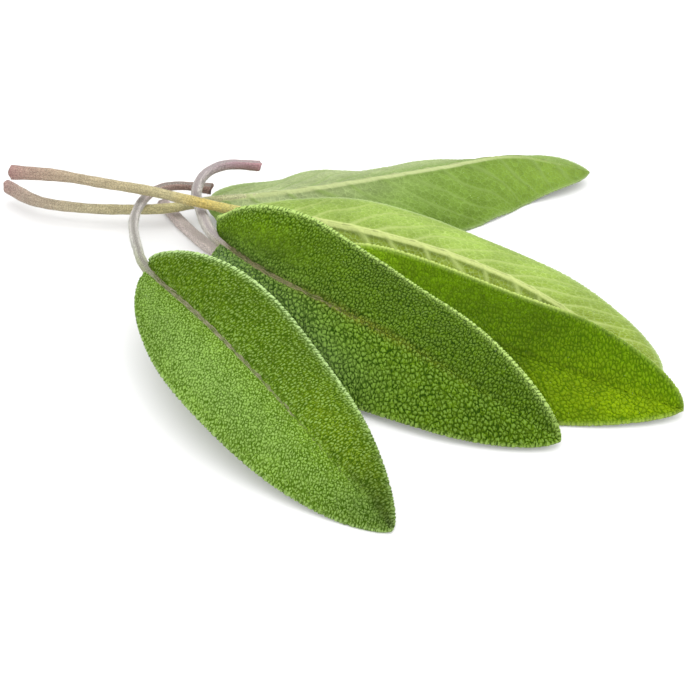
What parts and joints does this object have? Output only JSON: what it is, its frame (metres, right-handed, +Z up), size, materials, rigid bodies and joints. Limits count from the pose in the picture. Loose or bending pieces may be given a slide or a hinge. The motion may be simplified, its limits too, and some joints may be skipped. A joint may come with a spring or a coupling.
{
  "type": "sage bunch",
  "caption": "Small bunch of freshly picked sage leaves lying in a loose fan with their long stalks crossed, pebbled upper sides and paler veined undersides.",
  "frame": {"origin": "middle of the bunch's box on the surface that it lies on", "axes": "+Z up; +X runs the long way, from the crossed stalks towards the leaf tips; +Y runs away from the front leaf, towards the rear leaf"},
  "size_m": [0.107, 0.0948, 0.0129],
  "materials": {
    "leaf_upper_dark": "matte",
    "leaf_upper_bright": "matte",
    "leaf_underside": "matte",
    "stalk_mauve": "matte",
    "stalk_straw": "matte"
  },
  "bodies": {
    "root": {"front_leaf_blade": "leaf_upper_dark", "front_leaf_stalk": "stalk_mauve", "middle_leaf_blade": "leaf_upper_dark", "middle_leaf_stalk": "stalk_mauve", "right_leaf_blade": "leaf_upper_bright", "right_leaf_stalk": "stalk_mauve", "upper_leaf_blade": "leaf_underside", "upper_leaf_stalk": "stalk_straw", "rear_leaf_blade": "leaf_underside", "rear_leaf_stalk": "stalk_straw"}
  },
  "joints": []
}
